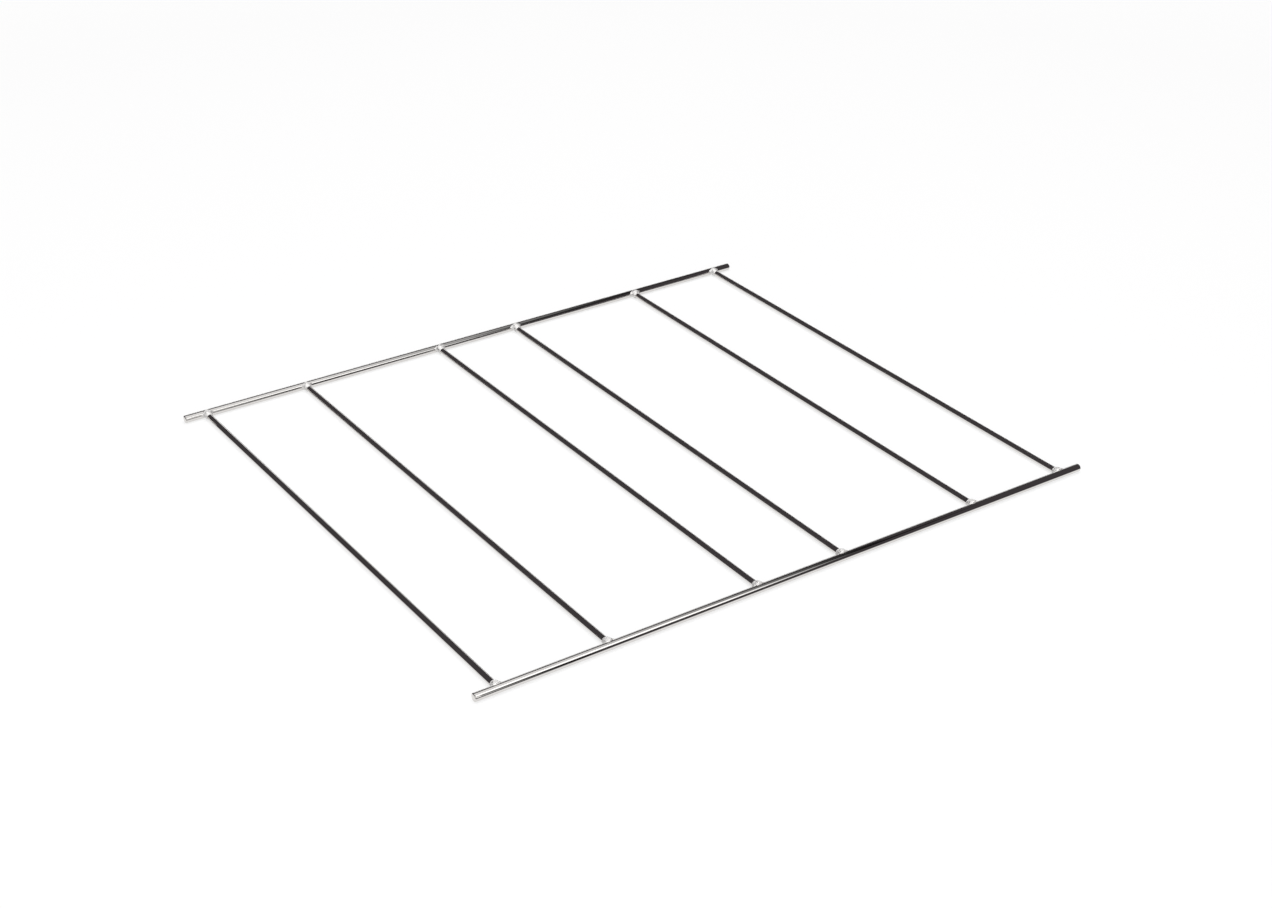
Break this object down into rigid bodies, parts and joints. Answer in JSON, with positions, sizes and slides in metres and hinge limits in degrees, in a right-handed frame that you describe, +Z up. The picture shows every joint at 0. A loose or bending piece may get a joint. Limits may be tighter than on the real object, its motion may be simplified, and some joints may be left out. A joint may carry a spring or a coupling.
{
  "type": "fryer basket support",
  "caption": "Flat welded wire rack that lies in a deep fryer's pot and carries the frying baskets: thin plated cross wires butt-welded between thicker end rods.",
  "frame": {"origin": "centre of the rack's outline, on the surface the rods lie on", "axes": "+X along the end rods, +Y along the cross wires from the front rod to the rear rod, +Z up"},
  "size_m": [0.419, 0.3556, 0.0057],
  "materials": {
    "plated_wire": "bright nickel plate over drawn steel wire",
    "plated_weld": "nickel plate, satin over finely pitted weld beads"
  },
  "bodies": {
    "root": {"front_rod": "plated_wire", "rear_rod": "plated_wire", "cross_wire_1": "plated_wire", "cross_wire_2": "plated_wire", "cross_wire_3": "plated_wire", "cross_wire_4": "plated_wire", "cross_wire_5": "plated_wire", "cross_wire_6": "plated_wire", "front_weld_beads": "plated_weld", "rear_weld_beads": "plated_weld"}
  },
  "joints": []
}
